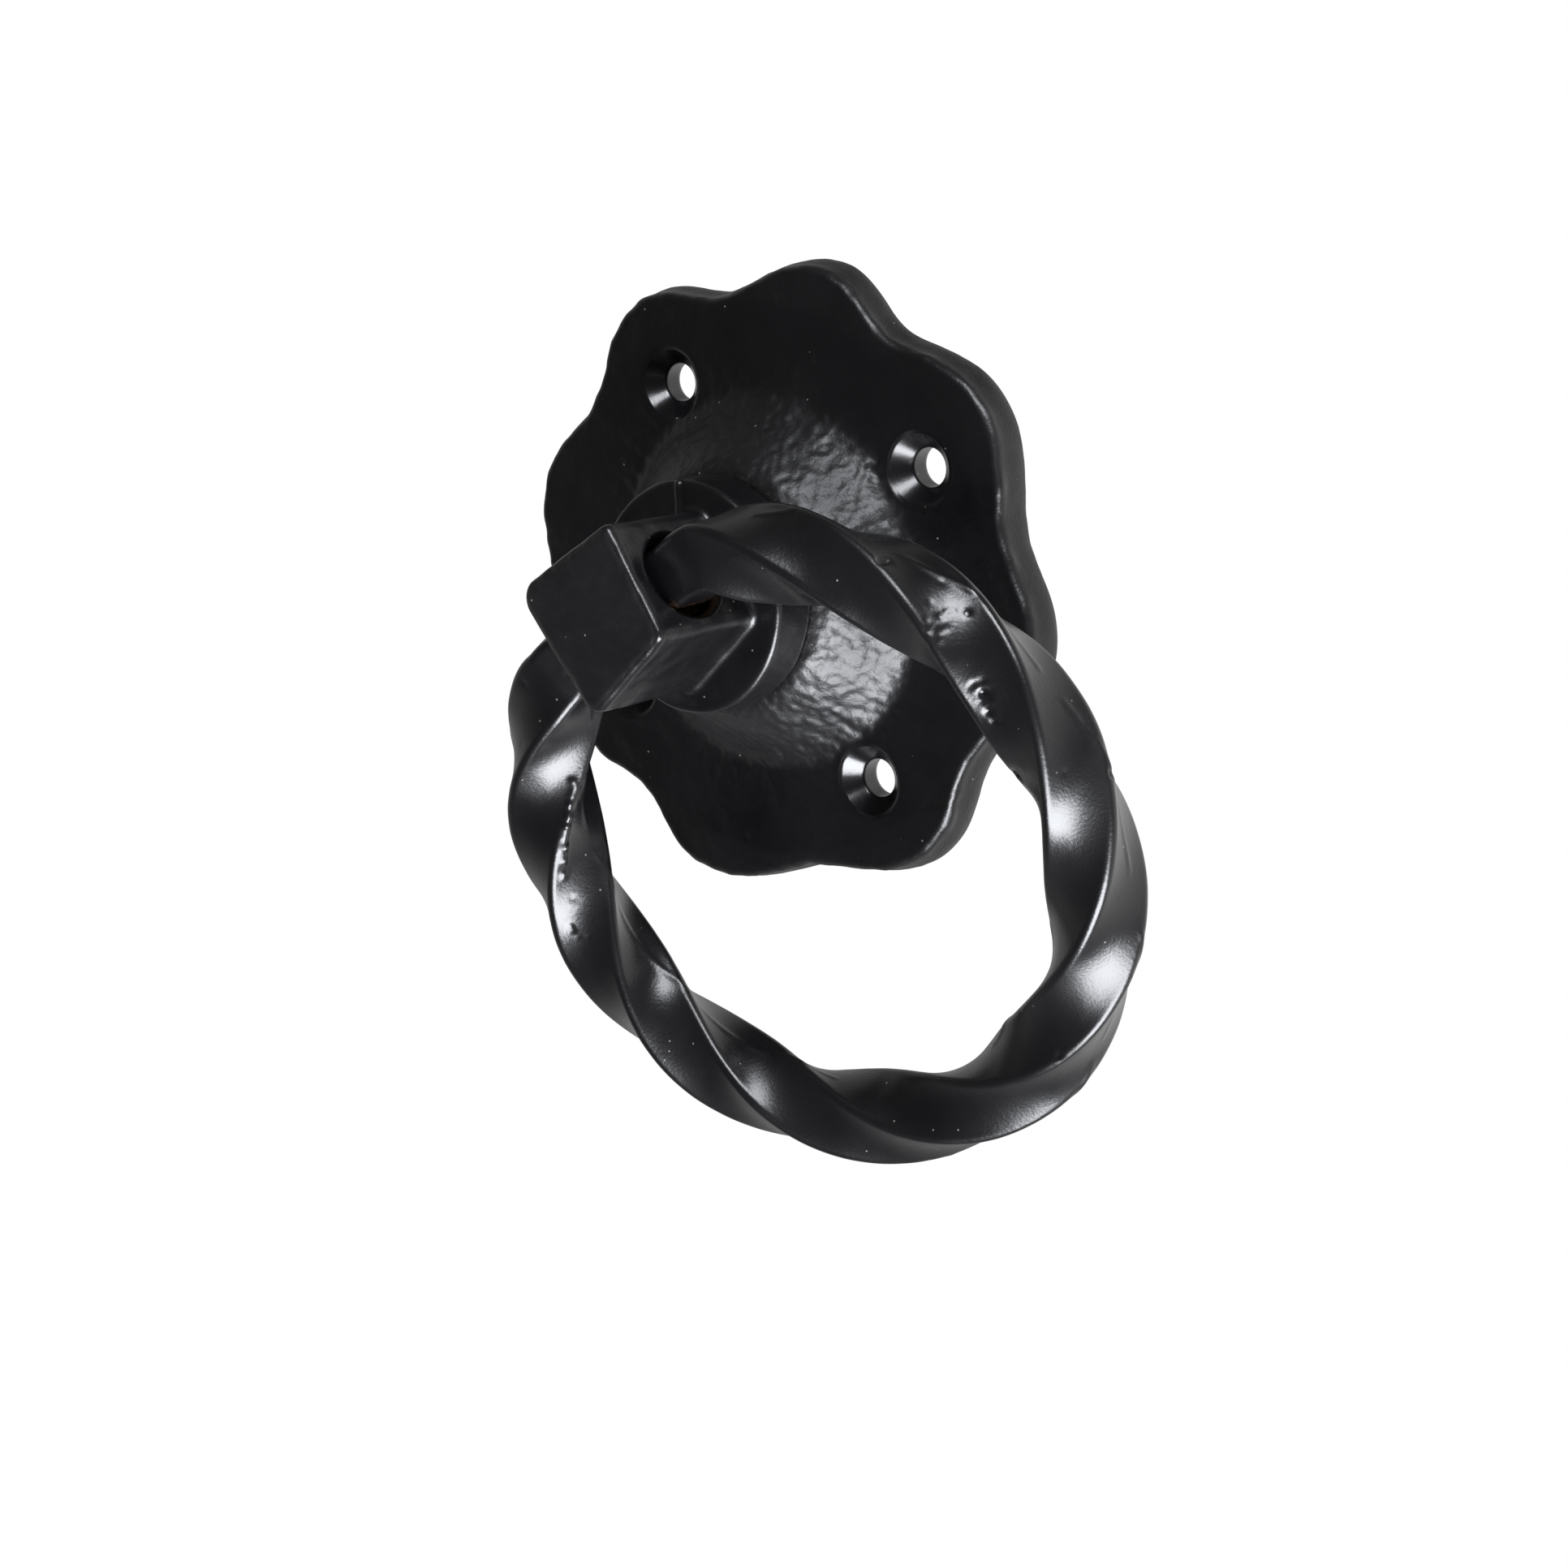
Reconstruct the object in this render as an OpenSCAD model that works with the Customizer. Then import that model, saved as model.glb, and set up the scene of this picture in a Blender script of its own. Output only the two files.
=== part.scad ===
// Ring door knocker: a twisted ring that swings in the square head of a round-collared boss,
// on a lobed cast plate with four countersunk screw holes.
// Frame: +Z up, front towards -Y, origin at the centre of the plate's back face (the door is y = 0).

/* [Plate] */
// Mean radius of the lobed outline at the back
plate_r = 46.2; // [42:0.1:50]
// How far the lobes rise above and fall below the mean radius
lobe_h = 2.2; // [0:0.1:3]
// Plate thickness
plate_t = 6; // [5:0.5:8]
// Radius that rounds the front edge
edge_round = 1.4; // [0.5:0.1:2]
// How far the edge leans in from back to front
edge_draft = 0.6; // [0:0.1:1]
// Radius where the raised centre starts
dome_foot_r = 29; // [28.5:0.5:30]
// Radius where the raised centre ends under the collar
dome_top_r = 16; // [15:0.5:18]
// Height of the raised centre above the door
dome_top = 16.6; // [16:0.1:17]

/* [Screw holes] */
// Diameter of the circle through the four holes
screw_pcd = 67.2; // [66:0.1:70]
// Radius of each screw hole, for a No. 10 wood screw
screw_r = 2.85; // [2.5:0.05:3]
// Radius of the countersink at the front face
sink_r = 5.5; // [4.5:0.1:5.8]

/* [Boss] */
// Collar radius
collar_r = 17.1; // [15:0.1:18]
// Collar thickness
collar_t = 7.6; // [6:0.1:9]
// Gap between the collar and the raised centre
collar_gap = 0.3; // [0.2:0.05:0.5]
// Width and height of the square head
head_w = 20.4; // [19:0.1:21]
// Distance from the door to the head's front face
head_front = 45.2; // [44:0.1:47]
// Radius that rounds the head's edges
head_round = 1.6; // [0.5:0.1:2]
// Radius of the cross hole that the ring swings in
hinge_hole_r = 6; // [5.5:0.05:6.2]
// Radius of the cross hole at its worn mouths
mouth_r = 6.9; // [6.3:0.1:7.2]

/* [Ring] */
// Radius of the ring's centre line
ring_r = 44.3; // [42:0.1:46]
// Distance from the hinge line down to the ring's centre
ring_drop = 41.6; // [39:0.1:42]
// Width of the square bar
bar_w = 10.8; // [9:0.1:11.2]
// Radius that rounds the bar's four ridges
bar_round = 1.4; // [0.8:0.1:2]
// Turns of the bar for one whole circle of the ring
bar_turns = 2.92; // [2:0.01:4]
// Angle of a ridge from the outward direction at the bottom of the ring
ridge_start = 48; // [0:1:90]
// Angle from the top of the ring within which its bar is left straight, untwisted
bar_straight_a = 22.4; // [12:0.1:31]
// How far the ring leans towards the door at rest
ring_lean = 15.8; // [0:0.1:18]

/* [Fixing] */
// Radius of the boss's shank where it turns in the plate
shank_r = 6; // [5.5:0.1:6.5]
// Radius of the threaded end, M10
thread_r = 5; // [4:1:5]
// Width across the flats of the nut
nut_flats = 17; // [16:1:18]
// Thickness of the nut
nut_t = 5; // [4:0.5:5]
// Outer radius of the plain washer
washer_r = 10.5; // [9:0.5:12]
// Thickness of each washer
washer_t = 2; // [1.5:0.5:2]

/* [Hidden] */
$fn = 96;
lap = 0.5;
outline_points = 160;
round_steps = 4;
lobe_sharpness = 0.12;
slab_t = plate_t - edge_round - 1;
band_w = edge_draft + edge_round + 2;
dome_steps = 14;
running_gap = 0.05;
washer_gap = 0.25;
thread_gap = 0.03;
sink_depth = sink_r - screw_r;
seat_z = 12;
shoulder_z = seat_z - 0.1;
hollow_mouth_r = 21;
hollow_seat_r = 15;
shank_end_z = 1.8;
spring_w = 3.2;
spring_open = 12;
collar_back = dome_top + collar_gap;
collar_front = collar_back + collar_t;
collar_chamfer = 0.8;
hinge_z = (collar_front + head_front) / 2;
mouth_depth = 1.6;
pin_r = hinge_hole_r - 0.06;
pin_inner_x = 1;
pin_outer_x = head_w / 2 - 1.1;
bar_start_x = pin_outer_x - 0.6;
bar_start_a = asin(bar_start_x / ring_r);
bar_full_a = 31;
bar_end_scale = 0.79;
bar_steps = 100;
ridge_steps = 3;

// Which sub-part to draw

// The sub-parts are drawn with their own z pointing out of the door, then turned to face -Y.
module out_of_door() {
    rotate([90, 0, 0]) children();
}

// 0 at t = 0 and 1 at t = 1, with level ends.
function ease(t) = let (c = min(1, max(0, t))) c * c * (3 - 2 * c);

// Eight-lobed outline, drawn in by inset.
function outline_r(a, inset) = plate_r + lobe_h * cos(8 * a) - lobe_sharpness * cos(16 * a) - inset;
function outline(inset) = [
    for (i = [0 : outline_points - 1])
        let (a = 360 * i / outline_points, r = outline_r(a, inset))
        [r * cos(a), r * sin(a)]
];

// A skin over rings of points, in order. It ends in flat faces, or with closed it runs back to the first ring.
module skin(rings, closed = false) {
    n = len(rings[0]);
    m = len(rings);
    sides = [
        for (k = [0 : m - (closed ? 1 : 2)], i = [0 : n - 1])
            let (a = k * n + i, b = k * n + (i + 1) % n, c = ((k + 1) % m) * n)
            each [[a, c + (i + 1) % n, b], [a, c + i, c + (i + 1) % n]]
    ];
    first = [for (i = [0 : n - 1]) i];
    last = [for (i = [n - 1 : -1 : 0]) (m - 1) * n + i];
    ends = closed ? [] : [first, last];
    polyhedron(points = [for (ring = rings) each ring], faces = concat(sides, ends), convexity = 8);
}

function outline_at(inset, z) = [for (p = outline(inset)) [p[0], p[1], z]];

// The band round the plate's front edge, which leans in and rounds over to the front face.
module edge_band() {
    over = [
        for (k = [0 : round_steps])
            let (a = 90 * k / round_steps)
            outline_at(
                edge_draft + edge_round * (1 - cos(a)),
                plate_t - edge_round + edge_round * sin(a)
            )
    ];
    inner = [outline_at(band_w, plate_t), outline_at(band_w, slab_t)];
    skin(concat([outline_at(0, slab_t)], over, inner), closed = true);
}

function dome_z(r) = plate_t + (dome_top - plate_t) * ease((dome_foot_r - r) / (dome_foot_r - dome_top_r));

module dome() {
    slope = [
        for (i = [0 : dome_steps])
            let (r = dome_foot_r + (dome_top_r - dome_foot_r) * i / dome_steps)
            [r, dome_z(r)]
    ];
    rotate_extrude() polygon(concat([[0, plate_t - lap], [dome_foot_r, plate_t - lap]], slope, [[0, dome_top]]));
}

module screw_hole() {
    translate([0, 0, -1]) cylinder(r = screw_r, h = plate_t + 2);
    translate([0, 0, plate_t - sink_depth]) cylinder(r1 = screw_r, r2 = sink_r, h = sink_depth);
    translate([0, 0, plate_t]) cylinder(r = sink_r, h = 2);
}

// Hollow behind the raised centre, which holds the washers and the nut.
module back_hollow() {
    translate([0, 0, -lap])
        cylinder(r1 = hollow_mouth_r, r2 = hollow_seat_r, h = seat_z + lap);
}

module backplate() {
    color([0.04, 0.04, 0.045]) out_of_door() difference() {
        union() {
            linear_extrude(slab_t) polygon(outline(0));
            linear_extrude(plate_t) polygon(outline(band_w - 1));
            edge_band();
            dome();
        }
        back_hollow();
        cylinder(r = shank_r + running_gap, h = dome_top + 1);
        for (k = [0 : 3]) rotate(90 * k) translate([screw_pcd / 2, 0, 0]) screw_hole();
    }
}

module collar() {
    rotate_extrude() polygon([
        [0, collar_back],
        [collar_r, collar_back],
        [collar_r, collar_front - collar_chamfer],
        [collar_r - collar_chamfer, collar_front],
        [0, collar_front]
    ]);
}

// Square head with rounded edges, sunk a little into the collar.
module head_block() {
    corner = head_w / 2 - head_round;
    hull() for (x = [-corner, corner], y = [-corner, corner]) translate([x, y, 0]) {
        translate([0, 0, collar_front - lap]) cylinder(r = head_round, h = lap, $fn = 32);
        translate([0, 0, head_front - head_round]) sphere(r = head_round, $fn = 32);
    }
}

module cross_hole() {
    translate([0, 0, hinge_z]) rotate([0, 90, 0]) {
        translate([0, 0, -head_w]) cylinder(r = hinge_hole_r, h = 2 * head_w);
        for (side = [0, 1]) mirror([0, 0, side])
            translate([0, 0, head_w / 2 - mouth_depth])
                cylinder(r1 = hinge_hole_r, r2 = mouth_r, h = mouth_depth + 0.01);
    }
}

module boss() {
    color([0.04, 0.04, 0.045]) out_of_door() difference() {
        union() {
            collar();
            head_block();
            translate([0, 0, shoulder_z]) cylinder(r = shank_r, h = collar_back - shoulder_z + lap);
            translate([0, 0, shank_end_z]) cylinder(r = thread_r, h = shoulder_z - shank_end_z + lap);
        }
        cross_hole();
    }
}

// The ring's own frame: x along the hinge, y out of the ring's plane towards the door, z up.
// Angle a runs round the ring from the top, through the +x side.
function from_end(a) = (min(a, 360 - a) - bar_start_a) / (bar_full_a - bar_start_a);
function bar_centre(a) = [ring_r * sin(a), 0, -(ring_drop - ring_r * cos(a)) * ease(from_end(a))];
function bar_lean(a) = a < 180 ? a * ease(from_end(a)) : 360 - (360 - a) * ease(from_end(a));
function bar_scale(a) = bar_end_scale + (1 - bar_end_scale) * ease(from_end(a));
function bar_twist(a) = ridge_start - 45 - bar_turns * (min(max(a, bar_straight_a), 360 - bar_straight_a) - 180);

// Square with rounded corners, as points.
function bar_section() = [
    for (k = [0 : 3], j = [0 : ridge_steps])
        let (
            a = 90 * j / ridge_steps,
            c = bar_w / 2 - bar_round,
            x = c + bar_round * cos(a),
            y = c + bar_round * sin(a)
        )
        [x * cos(90 * k) - y * sin(90 * k), x * sin(90 * k) + y * cos(90 * k)]
];

function bar_ring(a) = let (
    c = bar_centre(a),
    s = bar_scale(a),
    t = bar_twist(a),
    out = [sin(bar_lean(a)), 0, cos(bar_lean(a))]
) [
    for (p = bar_section())
        let (u = s * (p[0] * cos(t) - p[1] * sin(t)), v = s * (p[0] * sin(t) + p[1] * cos(t)))
        c + u * out + [0, v, 0]
];

module twisted_bar() {
    skin([
        for (i = [bar_steps : -1 : 0])
            bar_ring(bar_start_a + (360 - 2 * bar_start_a) * i / bar_steps)
    ]);
}

module ring() {
    color([0.04, 0.04, 0.045]) translate([0, -hinge_z, 0]) rotate([ring_lean, 0, 0]) union() {
        twisted_bar();
        for (side = [0, 1]) mirror([side, 0, 0])
            translate([pin_inner_x, 0, 0]) rotate([0, 90, 0]) cylinder(r = pin_r, h = pin_outer_x - pin_inner_x);
    }
}

module plain_washer() {
    color([0.6, 0.6, 0.62]) out_of_door() translate([0, 0, shoulder_z - washer_t]) difference() {
        cylinder(r = washer_r, h = washer_t);
        translate([0, 0, -1]) cylinder(r = thread_r + washer_gap, h = washer_t + 2);
    }
}

module spring_washer() {
    color([0.55, 0.55, 0.57]) out_of_door() translate([0, 0, shoulder_z - 2 * washer_t])
        rotate([0, 0, spring_open / 2]) rotate_extrude(angle = 360 - spring_open)
            translate([thread_r + washer_gap, 0]) square([spring_w, washer_t]);
}

module hex_nut() {
    color([0.6, 0.6, 0.62]) out_of_door() translate([0, 0, shoulder_z - 2 * washer_t - nut_t]) difference() {
        cylinder(r = nut_flats / sqrt(3), h = nut_t, $fn = 6);
        translate([0, 0, -1]) cylinder(r = thread_r + thread_gap, h = nut_t + 2);
    }
}

backplate();
boss();
ring();
plain_washer();
spring_washer();
hex_nut();
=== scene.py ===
"""Ring door knocker in black coated cast iron, built round its CAD frame.

Each operator builds one piece in mesh code, in millimetres with z pointing out of the door,
and turns it into the frame's metres with the front towards -Y.
"""

import math

import bmesh
import bpy
import numpy as np
from bpy.props import FloatProperty, FloatVectorProperty, IntProperty, PointerProperty
from mathutils import Matrix, Vector, noise
from mathutils.geometry import delaunay_2d_cdt


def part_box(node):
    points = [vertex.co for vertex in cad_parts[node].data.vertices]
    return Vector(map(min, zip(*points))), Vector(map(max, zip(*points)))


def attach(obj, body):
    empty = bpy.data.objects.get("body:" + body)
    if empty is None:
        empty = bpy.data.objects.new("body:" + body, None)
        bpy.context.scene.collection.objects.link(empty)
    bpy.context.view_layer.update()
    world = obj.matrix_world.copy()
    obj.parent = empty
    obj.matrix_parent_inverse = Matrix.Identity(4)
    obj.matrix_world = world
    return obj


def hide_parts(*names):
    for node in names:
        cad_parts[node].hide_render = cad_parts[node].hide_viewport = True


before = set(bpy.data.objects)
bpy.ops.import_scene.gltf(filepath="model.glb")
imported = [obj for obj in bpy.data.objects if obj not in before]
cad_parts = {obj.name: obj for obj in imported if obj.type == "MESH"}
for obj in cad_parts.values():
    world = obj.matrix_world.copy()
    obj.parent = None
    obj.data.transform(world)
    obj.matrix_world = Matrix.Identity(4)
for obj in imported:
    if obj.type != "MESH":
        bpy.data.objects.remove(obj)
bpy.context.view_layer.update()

bl_info = {
    "name": "Ring Door Knocker",
    "version": (1, 0, 0),
    "blender": (4, 5, 0),
    "location": "View3D > Sidebar > Knocker",
    "description": "Builds a twisted ring door knocker of coated cast iron on its CAD frame",
    "category": "Add Mesh",
}

MM = 0.001
PLATE_LOW, PLATE_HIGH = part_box("backplate")
BOSS_LOW, BOSS_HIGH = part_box("boss")
WASHER_LOW, WASHER_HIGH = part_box("plain_washer")
SPRING_LOW, SPRING_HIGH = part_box("spring_washer")
NUT_LOW, NUT_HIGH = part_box("hex_nut")


def linear(code, alpha=1.0):
    """An sRGB hex colour as the linear values that Blender's sockets take."""
    parts = [int(code[i : i + 2], 16) / 255 for i in (1, 3, 5)]
    return tuple(c / 12.92 if c <= 0.04045 else ((c + 0.055) / 1.055) ** 2.4 for c in parts) + (alpha,)


def length(name, description, default):
    """A size that a user may change, in the scene's length unit."""
    return FloatProperty(name=name, description=description, default=default, min=0, unit="LENGTH")


def colour(name, description, code):
    """A colour that a user may change."""
    return FloatVectorProperty(
        name=name,
        description=description,
        default=linear(code),
        size=4,
        min=0,
        max=1,
        subtype="COLOR",
    )


def watts(name, description, default):
    """The power of a light, which a user may change."""
    return FloatProperty(name=name, description=description, default=default, min=0, unit="POWER")


class KnockerPlate(bpy.types.PropertyGroup):
    reach: length("Reach", "From the centre to the tip of a lobe", PLATE_HIGH.x)
    lobes: IntProperty(name="Lobes", description="Lobes round the outline", default=8, min=3)
    lobe_height: length("Lobe height", "Half the depth from a lobe's tip to a valley", 2.2 * MM)
    thickness: length("Thickness", "Thickness of the plate at its edge", 6 * MM)
    edge_round: length("Edge round", "Radius of the front edge", 1.4 * MM)
    dome_foot: length("Dome foot", "Radius where the raised centre starts", 29 * MM)
    dome_crown: length("Dome crown", "Radius where the raised centre ends", 16 * MM)
    dome_height: length("Dome height", "Height of the raised centre above the door", -PLATE_LOW.y)
    screw_circle: length("Screw circle", "Diameter of the circle through the screw holes", 67.2 * MM)
    screw_radius: length("Screw hole", "Radius of a screw hole", 2.85 * MM)
    sink_radius: length("Countersink", "Radius of a countersink at the front", 5.5 * MM)


class KnockerBoss(bpy.types.PropertyGroup):
    collar_radius: length("Collar radius", "Radius of the round collar", BOSS_HIGH.x)
    collar_back: length("Collar back", "Height of the collar's back above the door", 16.9 * MM)
    collar_thickness: length("Collar thickness", "Thickness of the collar", 7.6 * MM)
    head_width: length("Head width", "Width of the square head", 20.4 * MM)
    head_front: length("Head front", "Height of the head's face above the door", -BOSS_LOW.y)
    hole_radius: length("Cross hole", "Radius of the hole that the ring swings in", 6 * MM)
    mouth_radius: length("Worn mouth", "Radius of the hole at its worn mouths", 6.9 * MM)


class KnockerRing(bpy.types.PropertyGroup):
    radius: length("Ring radius", "Radius of the bar's centre line", 44.3 * MM)
    drop: length("Drop", "From the hinge line down to the ring's centre", 41.6 * MM)
    bar_width: length("Bar width", "Width of the square bar", 10.8 * MM)
    bar_round: length("Ridge round", "Radius of the bar's ridges", 1.35 * MM)
    turns: FloatProperty(name="Twist", description="Turns of the bar in one circle", default=2.92)
    lean: FloatProperty(
        name="Lean",
        description="How far the ring leans towards the door",
        default=math.radians(15.8),
        subtype="ANGLE",
    )


class KnockerFixings(bpy.types.PropertyGroup):
    nut_flats: length("Nut flats", "Width across the flats of the nut", NUT_HIGH.z * 2)
    washer_radius: length("Washer radius", "Outer radius of the plain washer", WASHER_HIGH.x)
    thread_radius: length("Thread radius", "Radius of the threaded end", 5 * MM)
    spring_width: length("Spring width", "Width of the spring washer's bar", 3.2 * MM)


class KnockerFinish(bpy.types.PropertyGroup):
    coat_dark: colour("Coat, dark", "Black of the powder coat where it lies thick", "#050506")
    coat_light: colour("Coat, light", "Black of the powder coat where it lies thin", "#0B0A0C")
    worn_iron: colour("Worn iron", "Iron rubbed bare and browned by air", "#3A2A1C")
    dust: colour("Dust", "Dust caught in the coat", "#6B6763")
    zinc: colour("Zinc", "Zinc plating on the washer and nut", "#B9BBBF")
    spring_steel: colour("Spring steel", "Hardened steel of the spring washer", "#6A6765")
    coat_roughness: FloatProperty(
        name="Coat roughness",
        description="Satin of the powder coat",
        default=0.22,
        min=0,
        max=1,
        subtype="FACTOR",
    )
    cast_depth: length("Cast depth", "Height of the lumps that the sand mould leaves", 0.1 * MM)


class KnockerStage(bpy.types.PropertyGroup):
    floor_drop: length("Floor drop", "How far the floor lies below the knocker", 1.2)
    floor_size: length("Floor size", "Radius of the floor", 6.0)
    floor: colour("Floor", "Colour of the floor", "#F4F4F3")
    upper_power: watts("Upper light", "Power of the upper softbox", 8.5)
    lower_power: watts("Lower light", "Power of the lower softbox", 30)


def ease(t):
    """0 at t = 0 and 1 at t = 1, with level ends."""
    c = np.clip(t, 0, 1)
    return c * c * (3 - 2 * c)


def soft_noise(points, spacing, seed=0.0):
    """Random heights from -1 to 1 at points in millimetres, with lumps about spacing apart."""
    shifted = np.asarray(points, float) / spacing + seed
    return np.array([noise.noise(Vector(p)) for p in shifted])


def lumps(points, layers):
    """Noise in layers, each given as its share, spacing and seed."""
    return sum(share * soft_noise(points, spacing, seed) for share, spacing, seed in layers)


def dents(points, centres, radius, depth):
    """Small round dents, in millimetres, at each centre."""
    heights = np.zeros(len(points))
    for centre, r, d in zip(centres, radius, depth):
        gap = ((points - centre) ** 2).sum(1)
        heights -= d * np.exp(-gap / (r * r))
    return heights


def flaws(points, groups, picks):
    """Clusters of pits, or of small raised specks where the depth is below zero."""
    heights = np.zeros(len(points))
    for centre, spread, count, radius, depth in groups:
        centres = np.array(centre) + picks.normal(0, spread / 2, (count, 3))
        size = picks.uniform(0.7, 1.3, count)
        heights += dents(points, centres, radius * size, depth * size)
    return heights


def stack(rings, ends=""):
    """Quads between rings of points, in order.

    ends holds 'first' and 'last' for a fan that closes that ring.
    """
    rings = np.asarray(rings, float)
    rows, around = rings.shape[:2]
    points = [tuple(p) for p in rings.reshape(-1, 3)]
    faces = []
    for k in range(rows - 1):
        for i in range(around):
            j = (i + 1) % around
            faces.append((k * around + i, k * around + j, (k + 1) * around + j, (k + 1) * around + i))
    for word, row in (("first", 0), ("last", rows - 1)):
        if word in ends:
            points.append(tuple(rings[row].mean(0)))
            for i in range(around):
                faces.append((row * around + i, row * around + (i + 1) % around, len(points) - 1))
    return points, faces


def circle(radius, height, count, centre=(0, 0)):
    """A level ring of points."""
    a = np.arange(count) * 2 * math.pi / count
    x = centre[0] + radius * np.cos(a)
    y = centre[1] + radius * np.sin(a)
    return np.stack([x, y, np.full(count, float(height))], axis=1)


def out_of_door(points):
    """Millimetres with z out of the door as metres in the frame."""
    p = np.asarray(points, float)
    return np.stack([p[:, 0], -p[:, 2], p[:, 1]], axis=1) * MM


def into_door(points):
    """The other way round: metres in the frame as millimetres with z out of the door."""
    p = np.asarray(points, float) / MM
    return np.stack([p[:, 0], p[:, 2], -p[:, 1]], axis=1)


def mesh_of(name, *parts):
    """One smooth mesh from parts of points and faces, joined where their points meet."""
    points, faces = [], []
    for part_points, part_faces in parts:
        start = len(points)
        points.extend(part_points)
        faces.extend(tuple(start + i for i in face) for face in part_faces)
    mesh = bpy.data.meshes.new(name)
    mesh.from_pydata(out_of_door(points).tolist(), [], faces)
    work = bmesh.new()
    work.from_mesh(mesh)
    bmesh.ops.remove_doubles(work, verts=work.verts, dist=0.002 * MM)
    bmesh.ops.recalc_face_normals(work, faces=work.faces)
    work.to_mesh(mesh)
    work.free()
    mesh.polygons.foreach_set("use_smooth", [True] * len(mesh.polygons))
    mesh.update()
    return mesh


def points_of(mesh):
    """The mesh's points, in millimetres with z out of the door."""
    flat = np.zeros(len(mesh.vertices) * 3)
    mesh.vertices.foreach_get("co", flat)
    return into_door(flat.reshape(-1, 3))


def raise_surface(mesh, heights):
    """Moves each point along its normal, by heights in millimetres."""
    normals = np.zeros(len(mesh.vertices) * 3)
    mesh.vertices.foreach_get("normal", normals)
    places = np.zeros(len(mesh.vertices) * 3)
    mesh.vertices.foreach_get("co", places)
    moved = places.reshape(-1, 3) + normals.reshape(-1, 3) * np.asarray(heights)[:, None] * MM
    mesh.vertices.foreach_set("co", moved.ravel())
    mesh.update()


def paint(mesh, name, values):
    """Stores a value from 0 to 1 at each point, for the material to read."""
    layer = mesh.attributes.new(name, "FLOAT", "POINT")
    layer.data.foreach_set("value", np.clip(values, 0, 1).astype(np.float32))


def place(mesh, node, body, material):
    """Shows the mesh in place of its CAD node."""
    piece = bpy.data.objects.new(mesh.name, mesh)
    bpy.context.scene.collection.objects.link(piece)
    mesh.materials.append(material)
    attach(piece, body)
    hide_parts(node)


def add_node(tree, kind, settings=None, links=None):
    """Adds a node, with values for its settings and sockets and the outputs that its inputs take."""
    node = tree.nodes.new(kind)
    for name, value in (settings or {}).items():
        if isinstance(name, int) or name in node.inputs:
            node.inputs[name].default_value = value
        else:
            setattr(node, name, value)
    for name, source in (links or {}).items():
        tree.links.new(source, node.inputs[name])
    return node


def new_tree(name):
    """A material with nodes and nothing in them yet."""
    material = bpy.data.materials.new(name)
    material.use_nodes = True
    material.node_tree.nodes.clear()
    return material, material.node_tree


def cells(spacing):
    """A texture's scale, in cells a metre, from a spacing in millimetres."""
    return 1000.0 / spacing


# The coat's patterns, in millimetres: clouds of tone, orange peel, dust specks and height of bumps.
TONE_SPACING = 11
PEEL_SPACING = 1.1
# Sand grain is about 0.25 mm; it is drawn at 0.45 mm, the finest that still shows.
GRAIN_SPACING = 0.45
SPECK_SPACING = 3.6
PEEL_HEIGHT = 0.03
GRAIN_HEIGHT = 0.09


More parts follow.
